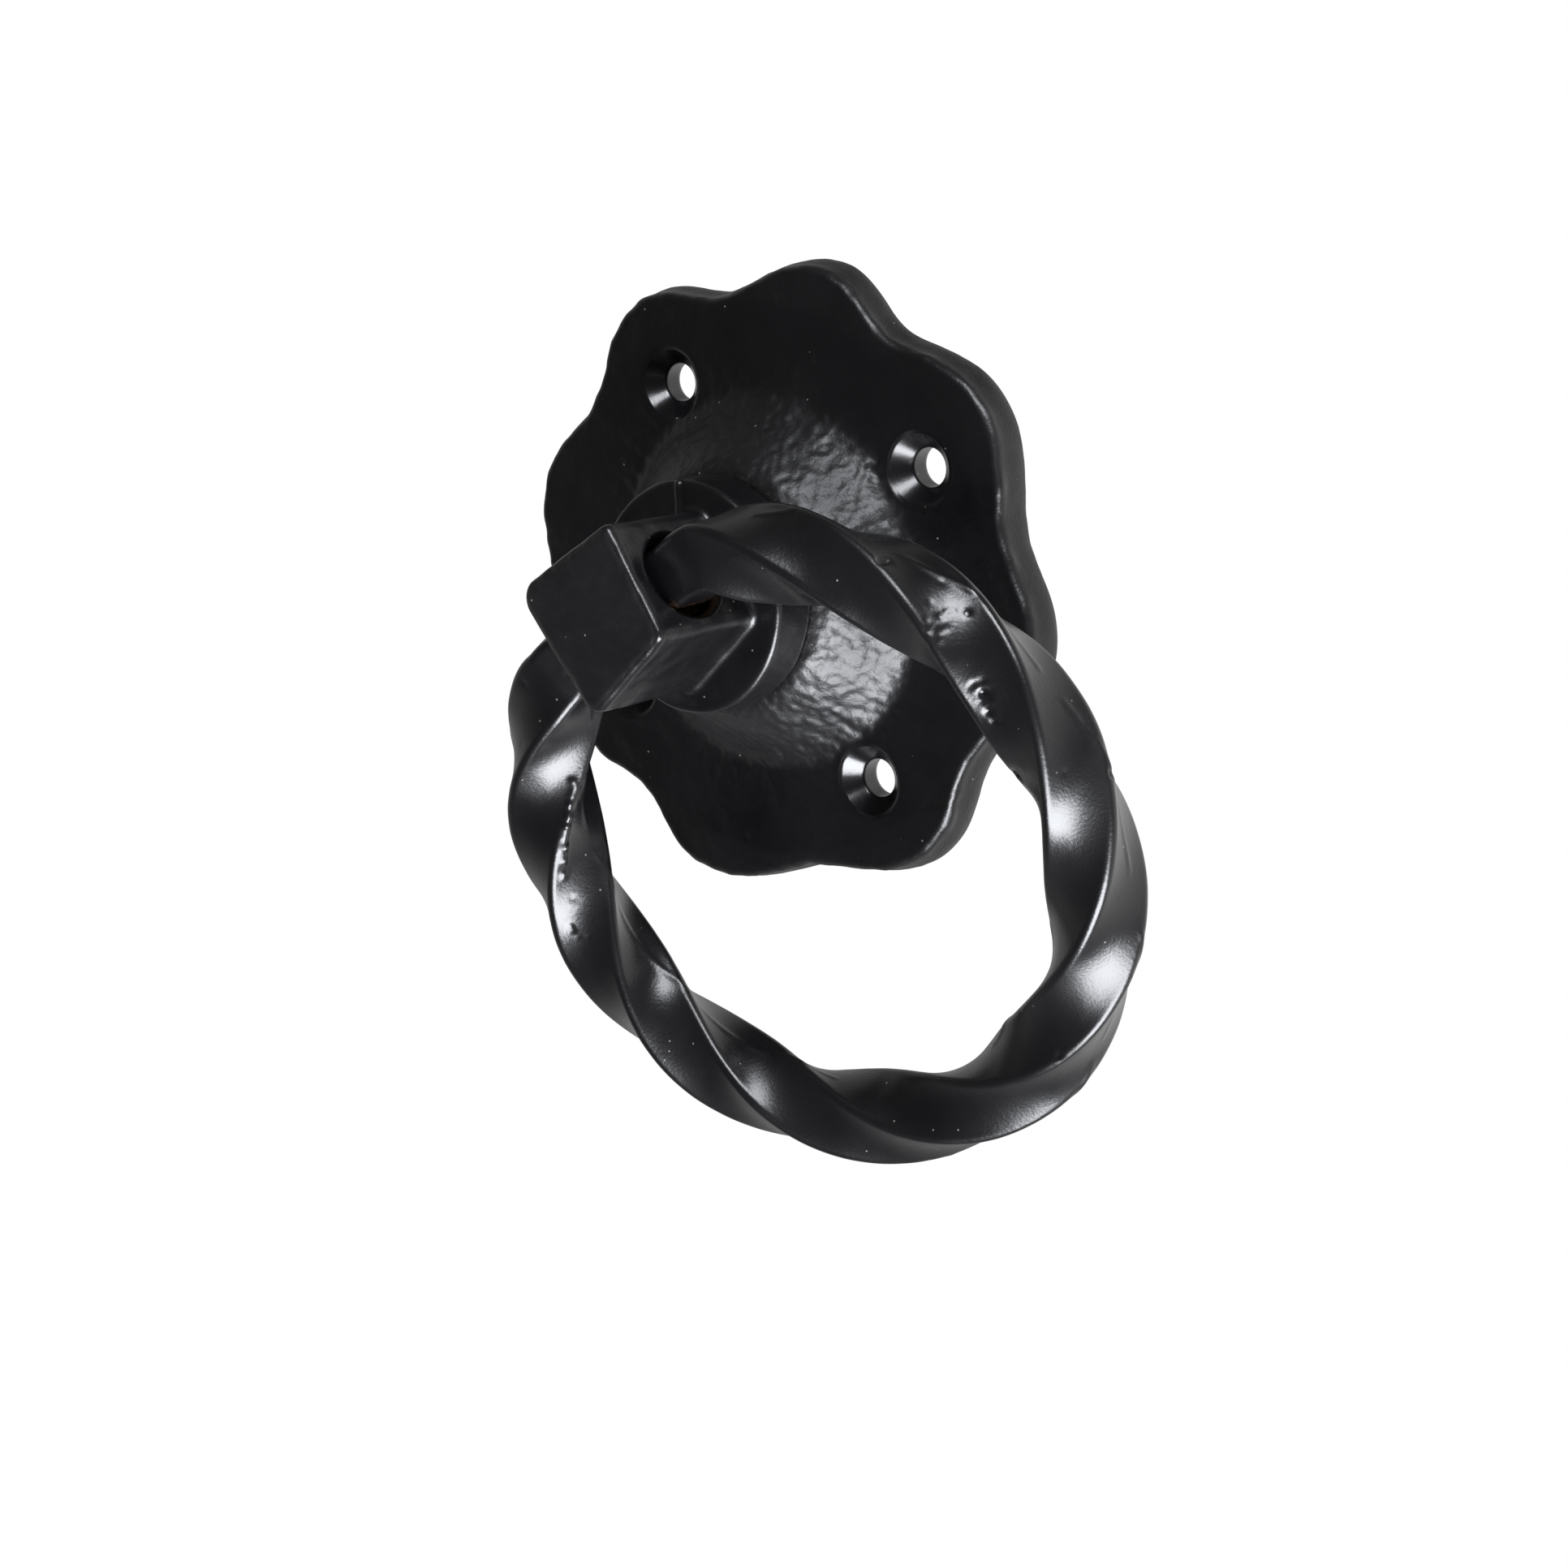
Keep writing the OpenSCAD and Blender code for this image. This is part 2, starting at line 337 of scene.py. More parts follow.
def powder_coated_iron(name, finish):
    """Sand-cast iron under a black powder coat, baked on.

    The eye gets a deep satin black whose highlights break up over the cast grain, fine orange peel
    from the melted powder, a few pits and dust specks, and brown bare iron where the ring rubs.
    """
    material, tree = new_tree(name)
    place_on = add_node(tree, "ShaderNodeTexCoord").outputs["Object"]
    tone, peel, grain = [
        add_node(
            tree,
            "ShaderNodeTexNoise",
            {"Scale": cells(spacing), "Detail": detail},
            {"Vector": place_on},
        )
        for spacing, detail in ((TONE_SPACING, 4.0), (PEEL_SPACING, 2.0), (GRAIN_SPACING, 3.0))
    ]
    specks = add_node(
        tree,
        "ShaderNodeTexVoronoi",
        {"Scale": cells(SPECK_SPACING)},
        {"Vector": place_on},
    )
    worn = add_node(tree, "ShaderNodeAttribute", {"attribute_name": "worn"}).outputs["Fac"]
    rough = add_node(tree, "ShaderNodeAttribute", {"attribute_name": "grain"}).outputs["Fac"]

    black = add_node(
        tree,
        "ShaderNodeMix",
        {"data_type": "RGBA", 6: finish.coat_dark, 7: finish.coat_light},
        {0: tone.outputs["Fac"]},
    )
    speck = add_node(
        tree,
        "ShaderNodeMapRange",
        {"From Min": 0.05, "From Max": 0.03, "To Min": 0.0, "To Max": 0.7},
        {"Value": specks.outputs["Distance"]},
    )
    dusty = add_node(
        tree,
        "ShaderNodeMix",
        {"data_type": "RGBA", 7: finish.dust},
        {0: speck.outputs["Result"], 6: black.outputs[2]},
    )
    ragged = add_node(
        tree,
        "ShaderNodeMath",
        {"operation": "MULTIPLY_ADD", 1: 0.7},
        {0: grain.outputs["Fac"], 2: worn},
    )
    bare = add_node(
        tree,
        "ShaderNodeMapRange",
        {"From Min": 0.78, "From Max": 1.0},
        {"Value": ragged.outputs[0]},
    )
    base = add_node(
        tree,
        "ShaderNodeMix",
        {"data_type": "RGBA", 7: finish.worn_iron},
        {0: bare.outputs["Result"], 6: dusty.outputs[2]},
    )
    metal = add_node(
        tree,
        "ShaderNodeMath",
        {"operation": "MULTIPLY", 1: 0.35},
        {0: bare.outputs["Result"]},
    )
    satin = add_node(
        tree,
        "ShaderNodeMapRange",
        {
            "From Min": 0.3,
            "From Max": 0.7,
            "To Min": finish.coat_roughness - 0.03,
            "To Max": finish.coat_roughness + 0.06,
        },
        {"Value": tone.outputs["Fac"]},
    )
    coarse = add_node(
        tree,
        "ShaderNodeMath",
        {"operation": "MULTIPLY_ADD", 1: 0.22},
        {0: rough, 2: satin.outputs["Result"]},
    )
    dull = add_node(
        tree,
        "ShaderNodeMath",
        {"operation": "MULTIPLY_ADD", 1: 0.25},
        {0: bare.outputs["Result"], 2: coarse.outputs[0]},
    )
    peel_bump = add_node(
        tree,
        "ShaderNodeBump",
        {"Strength": 0.35, "Distance": PEEL_HEIGHT * MM},
        {"Height": peel.outputs["Fac"]},
    )
    grain_share = add_node(
        tree,
        "ShaderNodeMath",
        {"operation": "MULTIPLY_ADD", 1: 0.6, 2: 0.12},
        {0: rough},
    )
    grain_bump = add_node(
        tree,
        "ShaderNodeBump",
        {"Distance": GRAIN_HEIGHT * MM},
        {
            "Height": grain.outputs["Fac"],
            "Strength": grain_share.outputs[0],
            "Normal": peel_bump.outputs["Normal"],
        },
    )
    shader = add_node(
        tree,
        "ShaderNodeBsdfPrincipled",
        {"IOR": 1.5},
        {
            "Base Color": base.outputs[2],
            "Metallic": metal.outputs[0],
            "Roughness": dull.outputs[0],
            "Normal": grain_bump.outputs["Normal"],
        },
    )
    add_node(tree, "ShaderNodeOutputMaterial", None, {"Surface": shader.outputs["BSDF"]})
    return material


MOTTLE_SPACING = 2.2
MARK_HEIGHT = 0.02
# Blender's ring wave repeats about this many times in a unit at scale 1.
WAVE_REPEAT = 3.15


def bright_steel(name, base_colour, roughness, tool_spacing):
    """Turned or pressed steel with a thin metal finish, drawn with fine marks from the tool.

    The eye gets a grey metal shine that breaks along rings round the hole, with faint mottling.
    """
    material, tree = new_tree(name)
    place_on = add_node(tree, "ShaderNodeTexCoord").outputs["Object"]
    # The tool leaves marks about 0.1 mm apart; they are drawn wider so that they show.
    marks = add_node(
        tree,
        "ShaderNodeTexWave",
        {
            "wave_type": "RINGS",
            "rings_direction": "Y",
            "Scale": cells(tool_spacing) / WAVE_REPEAT,
            "Distortion": 0.6,
            "Detail": 2.0,
        },
        {"Vector": place_on},
    )
    mottle = add_node(
        tree,
        "ShaderNodeTexNoise",
        {"Scale": cells(MOTTLE_SPACING), "Detail": 4.0},
        {"Vector": place_on},
    )
    shade = add_node(
        tree,
        "ShaderNodeMix",
        {"data_type": "RGBA", 6: (*[c * 0.72 for c in base_colour[:3]], 1), 7: base_colour},
        {0: mottle.outputs["Fac"]},
    )
    satin = add_node(
        tree,
        "ShaderNodeMapRange",
        {"From Min": 0.3, "From Max": 0.7, "To Min": roughness - 0.07, "To Max": roughness + 0.1},
        {"Value": mottle.outputs["Fac"]},
    )
    bump = add_node(
        tree,
        "ShaderNodeBump",
        {"Strength": 0.4, "Distance": MARK_HEIGHT * MM},
        {"Height": marks.outputs["Fac"]},
    )
    shader = add_node(
        tree,
        "ShaderNodeBsdfPrincipled",
        {"Metallic": 1.0},
        {
            "Base Color": shade.outputs[2],
            "Roughness": satin.outputs["Result"],
            "Normal": bump.outputs["Normal"],
        },
    )
    add_node(tree, "ShaderNodeOutputMaterial", None, {"Surface": shader.outputs["BSDF"]})
    return material


# ---- plate ---------------------------------------------------------------------------------

# The pattern was cut by hand: how far each lobe and valley sits off its place, in degrees and
# millimetres, from the right anticlockwise.
LOBE_TURNS = (3, -1, -1, -2, 1, -7, 3, 3.5)
LOBE_GROWTH = (0.4, -0.3, -0.5, -1.2, -0.3, 0.3, -0.2, 0.3)
VALLEY_TURNS = (3.5, 1.5, -0.5, -0.5, -2.5, -0.5, 1.5, 1.5)
VALLEY_GROWTH = (-0.2, -0.9, -1.0, 0, 0.2, -0.1, 0, 0.5)
LOBE_FULLNESS = 0.25
OUTLINE_WANDER = 0.15
EDGE_DRAFT = 0.6
BACK_ROUND = 0.5
SEAT_HEIGHT = 12.0
HOLLOW_MOUTH = 21.0
HOLLOW_LIP = 0.4
HOLLOW_SEAT = 15.0
BORE = 6.05
RIM = 0.35
OUTLINE_POINTS = 720
# Share of a cell that the small triangles stay clear of a loop.
SHEET_MARGIN = 0.6
# Layers of casting noise: share of the cast depth, spacing in millimetres, and seed.
PLATE_LUMPS = ((0.9, 6.5, 0.0), (0.55, 2.9, 3.1))
PLATE_HAMMER = ((0.6, 2.1, 5.7), (1.1, 1.15, 4.1))
PLATE_EDGE_LUMPS = ((2.2, 4.5, 2.2), (1.5, 2.2, 6.6))
PLATE_SEED = 11
PLATE_DENTS = 60
# How much a casting is drawn in all over, to keep it inside the CAD's box.
SKIN = 0.02
# Flaws of the casting, in millimetres: centre (x, up, out of the door), spread, how many, radius
# and depth.
PLATE_FLAWS = (
    ((27, 3, 6.6), 1.9, 22, 0.5, 0.24),
    ((25, 23.5, 6), 2.6, 7, 0.9, 0.1),
    ((16.3, 21.8, 6.2), 2.2, 6, 0.8, 0.09),
    ((-24.9, -14.8, 6), 2.4, 6, 0.8, 0.09),
    ((-4, 27, 6.2), 3, 7, 0.9, 0.08),
)
LATHE_POINTS = 240
HOLE_POINTS = 96
FRONT_CELL = 0.34
BACK_CELL = 1.0


def outline(plate, inset, height):
    """The lobed outline as a level ring of points, drawn in by inset."""
    a = np.arange(OUTLINE_POINTS) * 2 * math.pi / OUTLINE_POINTS
    radius = outline_radius(plate, a) - inset
    return np.stack([radius * np.cos(a), radius * np.sin(a), np.full(len(a), float(height))], axis=1)


def outline_radius(plate, a):
    """The outline's radius at each angle, swept in soft waves from lobe to valley and back."""
    tip = plate.reach / MM
    low = tip - 2 * plate.lobe_height / MM
    step = 180 / plate.lobes
    turns, radii = [], []
    for k in range(plate.lobes):
        i = k % len(LOBE_TURNS)
        turns += [2 * k * step + LOBE_TURNS[i], (2 * k + 1) * step + VALLEY_TURNS[i]]
        radii += [tip + LOBE_GROWTH[i], low + VALLEY_GROWTH[i]]
    turns = np.array([turns[-1] - 360, *turns, turns[0] + 360])
    radii = np.array([radii[-1], *radii, radii[0]])
    degrees = np.degrees(a) % 360
    k = np.searchsorted(turns, degrees, side="right") - 1
    t = (degrees - turns[k]) / (turns[k + 1] - turns[k])
    wave = radii[k] + (radii[k + 1] - radii[k]) * (0.5 - 0.5 * np.cos(math.pi * t))
    unit = np.stack([np.cos(a), np.sin(a), np.zeros(len(a))], axis=1)
    fullness = LOBE_FULLNESS * np.sin(math.pi * t) ** 2
    return wave + fullness + OUTLINE_WANDER * soft_noise(unit, 0.12, 7.3)


def screw_places(plate):
    """Centres of the four screw holes, from the right anticlockwise."""
    radius = plate.screw_circle / MM / 2
    quarters = [k * math.pi / 2 for k in range(4)]
    return [(radius * math.cos(a), radius * math.sin(a)) for a in quarters]


def sheet(loops, keep, cell, reach, height):
    """A face filled with small triangles between loops of points, where keep(x, y, margin) holds."""
    flat, edges = [], []
    for loop in loops:
        start = len(flat)
        flat.extend((p[0], p[1]) for p in loop)
        edges.extend((start + i, start + (i + 1) % len(loop)) for i in range(len(loop)))
    rows = int(reach / cell)
    for k in range(1, rows + 1):
        count = max(6, int(2 * math.pi * k))
        a = (np.arange(count) + 0.5 * (k % 2)) * 2 * math.pi / count
        x, y = k * cell * np.cos(a), k * cell * np.sin(a)
        inside = keep(x, y, SHEET_MARGIN * cell)
        flat.extend(zip(x[inside].tolist(), y[inside].tolist()))
    made = delaunay_2d_cdt([Vector(p) for p in flat], edges, [], 0, 1e-5)
    places = np.array([(v.x, v.y) for v in made[0]])
    corners = np.array(made[2])
    middle = places[corners].mean(1)
    corners = corners[keep(middle[:, 0], middle[:, 1], 0.0)]
    heights = height(places[:, 0], places[:, 1])
    return np.column_stack([places, heights]), [tuple(c) for c in corners.tolist()]


def dome_height(plate, radius):
    """Height of the plate's front at a distance from its centre."""
    base, top = plate.thickness / MM, plate.dome_height / MM
    foot, crown = plate.dome_foot / MM, plate.dome_crown / MM
    return base + (top - base) * ease((foot - radius) / (foot - crown))


def plate_mesh(plate):
    """Front, edge, back, hollow and screw holes, as one closed surface."""
    thick = plate.thickness / MM
    soft = plate.edge_round / MM
    crown = plate.dome_crown / MM + 0.3
    sink, screw = plate.sink_radius / MM, plate.screw_radius / MM
    front_inset = EDGE_DRAFT + soft
    hollow_rim = HOLLOW_MOUTH + HOLLOW_LIP
    holes = screw_places(plate)

    def keep(inset, inner, hole):
        def test(x, y, margin):
            a, r = np.arctan2(y, x), np.hypot(x, y)
            good = (r < outline_radius(plate, a) - inset - margin) & (r > inner + margin)
            for cx, cy in holes:
                good &= np.hypot(x - cx, y - cy) > hole + margin
            return good

        return test

    sink_loops = [circle(sink + RIM, 0, HOLE_POINTS, c) for c in holes]
    for loop in sink_loops:
        loop[:, 2] = dome_height(plate, np.hypot(loop[:, 0], loop[:, 1]))
    front = sheet(
        [outline(plate, front_inset, thick), circle(crown, 0, LATHE_POINTS), *sink_loops],
        keep(front_inset, crown, sink + RIM),
        FRONT_CELL,
        plate.reach / MM,
        lambda x, y: dome_height(plate, np.hypot(x, y)),
    )
    back = sheet(
        [
            outline(plate, BACK_ROUND, 0),
            circle(hollow_rim, 0, LATHE_POINTS),
            *[circle(screw + RIM, 0, HOLE_POINTS, c) for c in holes],
        ],
        keep(BACK_ROUND, hollow_rim, screw + RIM),
        BACK_CELL,
        plate.reach / MM,
        lambda x, y: np.zeros(len(x)),
    )
    edge = [
        outline(plate, BACK_ROUND * (1 - math.sin(t)), BACK_ROUND * (1 - math.cos(t)))
        for t in np.linspace(0, math.pi / 2, 5)
    ]
    wall = np.linspace(BACK_ROUND, thick - soft, 10)[1:]
    edge += [outline(plate, EDGE_DRAFT * float(ease((h - 1) / 3.6)), h) for h in wall]
    edge += [
        outline(plate, EDGE_DRAFT + soft * (1 - math.cos(t)), thick - soft + soft * math.sin(t))
        for t in np.linspace(0, math.pi / 2, 8)[1:]
    ]
    lathe = [(hollow_rim, 0), (HOLLOW_MOUTH + 0.12, 0.12), (HOLLOW_MOUTH - 0.1, 0.4)]
    slope = [
        (HOLLOW_MOUTH - 0.3 + (HOLLOW_SEAT - HOLLOW_MOUTH + 0.3) * t, 0.8 + (SEAT_HEIGHT - 1.6) * t)
        for t in np.linspace(0, 1, 18)
    ]
    lathe += slope + [(HOLLOW_SEAT - 0.25, SEAT_HEIGHT - 0.25), (HOLLOW_SEAT - 0.9, SEAT_HEIGHT)]
    lathe += [(r, SEAT_HEIGHT) for r in np.linspace(HOLLOW_SEAT - 1.6, BORE, 14)]
    top = plate.dome_height / MM
    lathe += [(BORE, h) for h in np.linspace(SEAT_HEIGHT, top, 8)[1:]]
    lathe += [(r, float(dome_height(plate, r))) for r in np.linspace(BORE, crown, 16)[1:]]
    inside = [circle(r, h, LATHE_POINTS) for r, h in lathe]
    parts = [front, back, stack(edge), stack(inside)]
    for loop, centre in zip(sink_loops, holes):
        well = [loop]
        for r in (sink + 0.12, sink - 0.08):
            ring = circle(r, 0, HOLE_POINTS, centre)
            lip = dome_height(plate, np.hypot(ring[:, 0], ring[:, 1]))
            ring[:, 2] = lip - 0.06 - (sink + 0.12 - r) * 0.8
            well.append(ring)
        cone = np.linspace(sink - 0.25, screw + 0.15, 12)
        well += [circle(r, thick - (sink - r), HOLE_POINTS, centre) for r in cone]
        floor = thick - (sink - screw)
        well += [circle(screw, h, HOLE_POINTS, centre) for h in np.linspace(floor - 0.1, 0.4, 8)]
        well.append(circle(screw + 0.1, 0.1, HOLE_POINTS, centre))
        well.append(circle(screw + RIM, 0, HOLE_POINTS, centre))
        parts.append(stack(well))
    return mesh_of("cast_backplate", *parts)


def cast_plate(mesh, plate, depth):
    """Gives the plate the lumps, streaks and pits of its sand mould."""
    p = points_of(mesh)
    r = np.hypot(p[:, 0], p[:, 1])
    a = np.arctan2(p[:, 1], p[:, 0])
    front = ease((p[:, 2] - 4.0) / 1.5)
    gaps = [np.hypot(p[:, 0] - x, p[:, 1] - y) for x, y in screw_places(plate)]
    near_hole = np.min(gaps, axis=0)
    open_metal = ease((near_hole - 5.6) / 1.2) * ease((r - 6.5) / 1.0)
    slope = np.exp(-(((r - 22.5) / 6.5) ** 2)) * front
    broad = lumps(p, PLATE_LUMPS)
    hammer = lumps(p, PLATE_HAMMER)
    heights = depth * (broad * (1.3 + 0.3 * slope) + 1.5 * hammer * (0.22 + slope))
    # Streaks that run out from the raised centre.
    rays = np.column_stack([np.cos(a) * 18, np.sin(a) * 18, r / 6.5])
    heights += 1.6 * depth * soft_noise(rays, 1.0, 9.2) * np.exp(-(((r - 28) / 5) ** 2)) * front
    edge = np.exp(-(((p[:, 2] - 5.2) / 1.0) ** 2)) * ease((r - 40) / 2)
    heights += depth * edge * lumps(p, PLATE_EDGE_LUMPS)
    picks = np.random.default_rng(PLATE_SEED)
    spread = picks.uniform(19, 44, PLATE_DENTS)
    turn = picks.uniform(0, 2 * math.pi, PLATE_DENTS)
    level = dome_height(plate, spread)
    centres = np.column_stack([spread * np.cos(turn), spread * np.sin(turn), level])
    size = picks.uniform(0.3, 0.7, PLATE_DENTS)
    heights += dents(p, centres, size, picks.uniform(0.03, 0.12, PLATE_DENTS))
    heights += flaws(p, PLATE_FLAWS, picks)
    # The back lies flat on the door, so nothing there stands proud.
    heights = np.where(p[:, 2] < 0.6, np.minimum(heights, 0), heights)
    raise_surface(mesh, heights * open_metal - SKIN)
    paint(mesh, "worn", 0.38 * ease((18.0 - r) / 0.6) * front)
    rough = 0.2 + 0.8 * np.maximum(slope, 1 - front) + 0.5 * edge
    paint(mesh, "grain", open_metal * np.clip(rough, 0, 1))


class KNOCKER_OT_plate(bpy.types.Operator):
    """Builds the lobed plate with its raised centre and four countersunk screw holes"""

    bl_idname = "knocker.plate"
    bl_label = "Build the plate"

    def execute(self, context):
        plate, finish = context.scene.knocker_plate, context.scene.knocker_finish
        mesh = plate_mesh(plate)
        cast_plate(mesh, plate, finish.cast_depth / MM)
        coat = powder_coated_iron("powder_coated_cast_iron_plate", finish)
        place(mesh, "backplate", "plate", coat)
        return {"FINISHED"}


# ---- boss ----------------------------------------------------------------------------------

THREAD_RADIUS = 5.0
THREAD_END = 1.8
THREAD_BEVEL = 0.9
THREAD_PITCH = 1.5
THREAD_DEPTH = 0.7
SHOULDER = 11.9
SHANK = 6.0
HEAD_ROUND = 1.6
# The head's corners from the top right anticlockwise: which corner, and how far it sits off a
# true square.
HEAD_SKEW = (
    ((1, 1), (0, -0.3)),
    ((-1, 1), (-0.8, -0.3)),
    ((-1, -1), (1.8, -2.0)),
    ((1, -1), (0, 1.6)),
)
# Radius of each corner at the collar and at the face.
HEAD_CORNERS = ((2.8, 1.5), (3.4, 3.4), (2.6, 2.4), (2.0, 1.7))
COLLAR_EDGE = 0.9
FILLET = 1.1
MOUTH_POINTS = 96
BOSS_CELL = 0.3
SEAM_TURN = math.radians(-30)
SEAM_HEIGHT = 0.55
SEAM_WIDTH = 0.42
BOSS_LUMPS = ((1.3, 7, 1.9), (1.0, 2.8, 4.4))
FACE_LUMPS = ((0.7, 2.4, 3.3), (0.6, 1.2, 8.3))
# How much the face is drawn in, so that its lumps stay behind the CAD's face.
FACE_SKIN = 0.16


def corner_ring(corners, radii, height, count_corner=10, count_side=26):
    """A level ring of points round a four-cornered shape, each corner with its own radius."""
    corners = np.array(corners, float)
    arcs = []
    for k in range(4):
        corner = corners[k]
        back = corners[k - 1] - corner
        ahead = corners[(k + 1) % 4] - corner
        back /= np.linalg.norm(back)
        ahead /= np.linalg.norm(ahead)
        half = math.acos(float(back @ ahead)) / 2
        middle = (back + ahead) / np.linalg.norm(back + ahead)
        centre = corner + middle * radii[k] / math.sin(half)
        sweep = math.pi - 2 * half
        start = math.atan2(-middle[1], -middle[0]) - sweep / 2
        turn = start + np.linspace(0, sweep, count_corner + 1)
        arcs.append(centre + radii[k] * np.column_stack([np.cos(turn), np.sin(turn)]))
    ring = []
    for k in range(4):
        ring.extend(arcs[k])
        ahead = arcs[(k + 1) % 4][0]
        for t in np.linspace(0, 1, count_side + 1)[1:-1]:
            ring.append(arcs[k][-1] + (ahead - arcs[k][-1]) * t)
    ring = np.array(ring)
    return np.column_stack([ring, np.full(len(ring), float(height))])


def square_ring(half, corner, height, count_corner=10, count_side=26):
    """A level ring of points round a square with rounded corners."""
    corners = ((half, half), (-half, half), (-half, -half), (half, -half))
    return corner_ring(corners, (corner,) * 4, height, count_corner, count_side)


def head_ring(half, inset, height, share):
    """The head's outline, ground by eye. share runs from 0 at the collar to 1 at the face."""
    scale = 1 - inset / half
    corners = [((sx * half + dx) * scale, (sy * half + dy) * scale) for (sx, sy), (dx, dy) in HEAD_SKEW]
    radii = [max(0.35, low + (high - low) * share - inset) for low, high in HEAD_CORNERS]
    return corner_ring(corners, radii, height)


def round_ring(radius, height):
    """A level circle whose points face those of a square ring."""
    ring = square_ring(10.0, 1.0, height)
    reach = np.hypot(ring[:, 0], ring[:, 1])
    ring[:, :2] *= (radius / reach)[:, None]
    return ring


def boss_blank(boss):
    """Threaded end, shank, collar and square head in one loft from the door outwards."""
    back = boss.collar_back / MM
    front = back + boss.collar_thickness / MM
    rim = boss.collar_radius / MM
    half = boss.head_width / MM / 2
    face = boss.head_front / MM
    shaft = (
        (THREAD_RADIUS - THREAD_BEVEL, THREAD_END),
        (THREAD_RADIUS, THREAD_END + THREAD_BEVEL),
        (THREAD_RADIUS, SHOULDER),
        (SHANK, SHOULDER + 0.02),
        (SHANK, back),
        (rim - 0.4, back),
        (rim, back + 0.4),
    )
    rings = [round_ring(radius, height) for radius, height in shaft]
    for t in np.linspace(0, math.pi / 2, 9):
        swing = COLLAR_EDGE * (1 - math.cos(t))
        rings.append(round_ring(rim - swing, front - COLLAR_EDGE + COLLAR_EDGE * math.sin(t)))
    for t in np.linspace(0, math.pi / 2, 7):
        height = front + FILLET * (1 - math.cos(t))
        rings.append(head_ring(half, -FILLET * (1 - math.sin(t)), height, 0))
    rings.append(head_ring(half, 0, face - HEAD_ROUND, 1))
    for t in np.linspace(0, math.pi / 2, 9)[1:]:
        height = face - HEAD_ROUND * (1 - math.sin(t))
        rings.append(head_ring(half, HEAD_ROUND * (1 - math.cos(t)), height, 1))
    return stack(rings, ends="first last")


def hinge_height(boss):
    """Height of the cross hole's centre, half way up the head."""
    return ((boss.collar_back + boss.collar_thickness) + boss.head_front) / MM / 2


def cross_cutter(boss):
    """A round bar along x with flared ends, which leaves soft worn mouths."""
    radius, mouth = boss.hole_radius / MM, boss.mouth_radius / MM
    half = boss.head_width / MM / 2
    flare = mouth - radius
    profile = [(half + 4, mouth + 0.5), (half + 0.15, mouth + 0.25)]
    for t in np.linspace(0, math.pi / 2, 8):
        profile.append((half - 1.9 * flare * math.sin(t), radius + flare * (1 - math.sin(t)) ** 1.5))
    profile += [(-x, r) for x, r in reversed(profile)]
    height = hinge_height(boss)
    rings = []
    for x, r in profile:
        ring = circle(r, x, MOUTH_POINTS)
        rings.append(np.column_stack([ring[:, 2], ring[:, 1], ring[:, 0] + height]))
    return stack(rings, ends="first last")


def carve_boss(boss):
    """Cuts the cross hole and turns the blank into even small faces with softened edges."""
    blank = bpy.data.objects.new("boss_blank", mesh_of("boss_blank", boss_blank(boss)))
    cutter = bpy.data.objects.new("boss_cutter", mesh_of("boss_cutter", cross_cutter(boss)))
    for o in (blank, cutter):
        bpy.context.scene.collection.objects.link(o)
    cut = blank.modifiers.new("cross_hole", "BOOLEAN")
    cut.operation, cut.object, cut.solver = "DIFFERENCE", cutter, "EXACT"
    even = blank.modifiers.new("even", "REMESH")
    even.mode, even.voxel_size, even.use_smooth_shade = "VOXEL", BOSS_CELL * MM, True
    soft = blank.modifiers.new("soften", "SMOOTH")
    soft.factor, soft.iterations = 0.5, 4
    seen = blank.evaluated_get(bpy.context.evaluated_depsgraph_get())
    mesh = bpy.data.meshes.new_from_object(seen)
    mesh.name = "cast_boss"
    for o in (blank, cutter):
        bpy.data.objects.remove(o)
    return mesh


def cast_boss(mesh, boss, depth):
    """Casting lumps, a parting line on the collar, cut thread and wear in the cross hole."""
    p = points_of(mesh)
    x, y, z = p.T
    r = np.hypot(x, y)
    hinge = hinge_height(boss)
    half = boss.head_width / MM / 2
    front = (boss.collar_back + boss.collar_thickness) / MM
    reach = np.hypot(y, z - hinge)
    on_head = z > front + 0.5
    in_hole = ease((7.4 - reach) / 0.6) * ease((half + 0.5 - np.abs(x)) / 0.4) * on_head
    cast = (1 - in_hole) * ease((z - 16.8) / 0.4)
    heights = depth * cast * lumps(p, BOSS_LUMPS)
    on_collar = np.exp(-(((z - front) / 0.35) ** 2)) * ease((r - half - 0.5) / 1.0)
    line = np.abs(x * math.cos(SEAM_TURN) + y * math.sin(SEAM_TURN))
    ahead = y * math.cos(SEAM_TURN) - x * math.sin(SEAM_TURN) > 0
    heights += SEAM_HEIGHT * np.exp(-((line / SEAM_WIDTH) ** 2)) * on_collar * ahead
    turn = np.arctan2(y, x) / (2 * math.pi)
    phase = np.abs(((z / THREAD_PITCH - turn) % 1.0) * 2 - 1)
    threaded = ease((SHOULDER - 0.6 - z) / 0.3) * ease((z - THREAD_END - 0.25) / 0.3) * (r > 4.2)
    heights -= THREAD_DEPTH * phase * threaded
    face = ease((z - boss.head_front / MM + 0.6) / 0.4)
    heights += depth * face * lumps(p, FACE_LUMPS)
    heights -= FACE_SKIN * face
    raise_surface(mesh, heights - SKIN)
    below = ease((1.0 - y) / 4.0)
    at_mouth = ease((np.abs(x) - half + 1.9) / 0.9) * on_head
    rim = np.exp(-(((reach - 6.2) / 0.55) ** 2)) * at_mouth
    paint(mesh, "worn", rim * below * 0.9)
    paint(mesh, "grain", 0.3 * cast + 0.4 * in_hole + 0.5 * face)


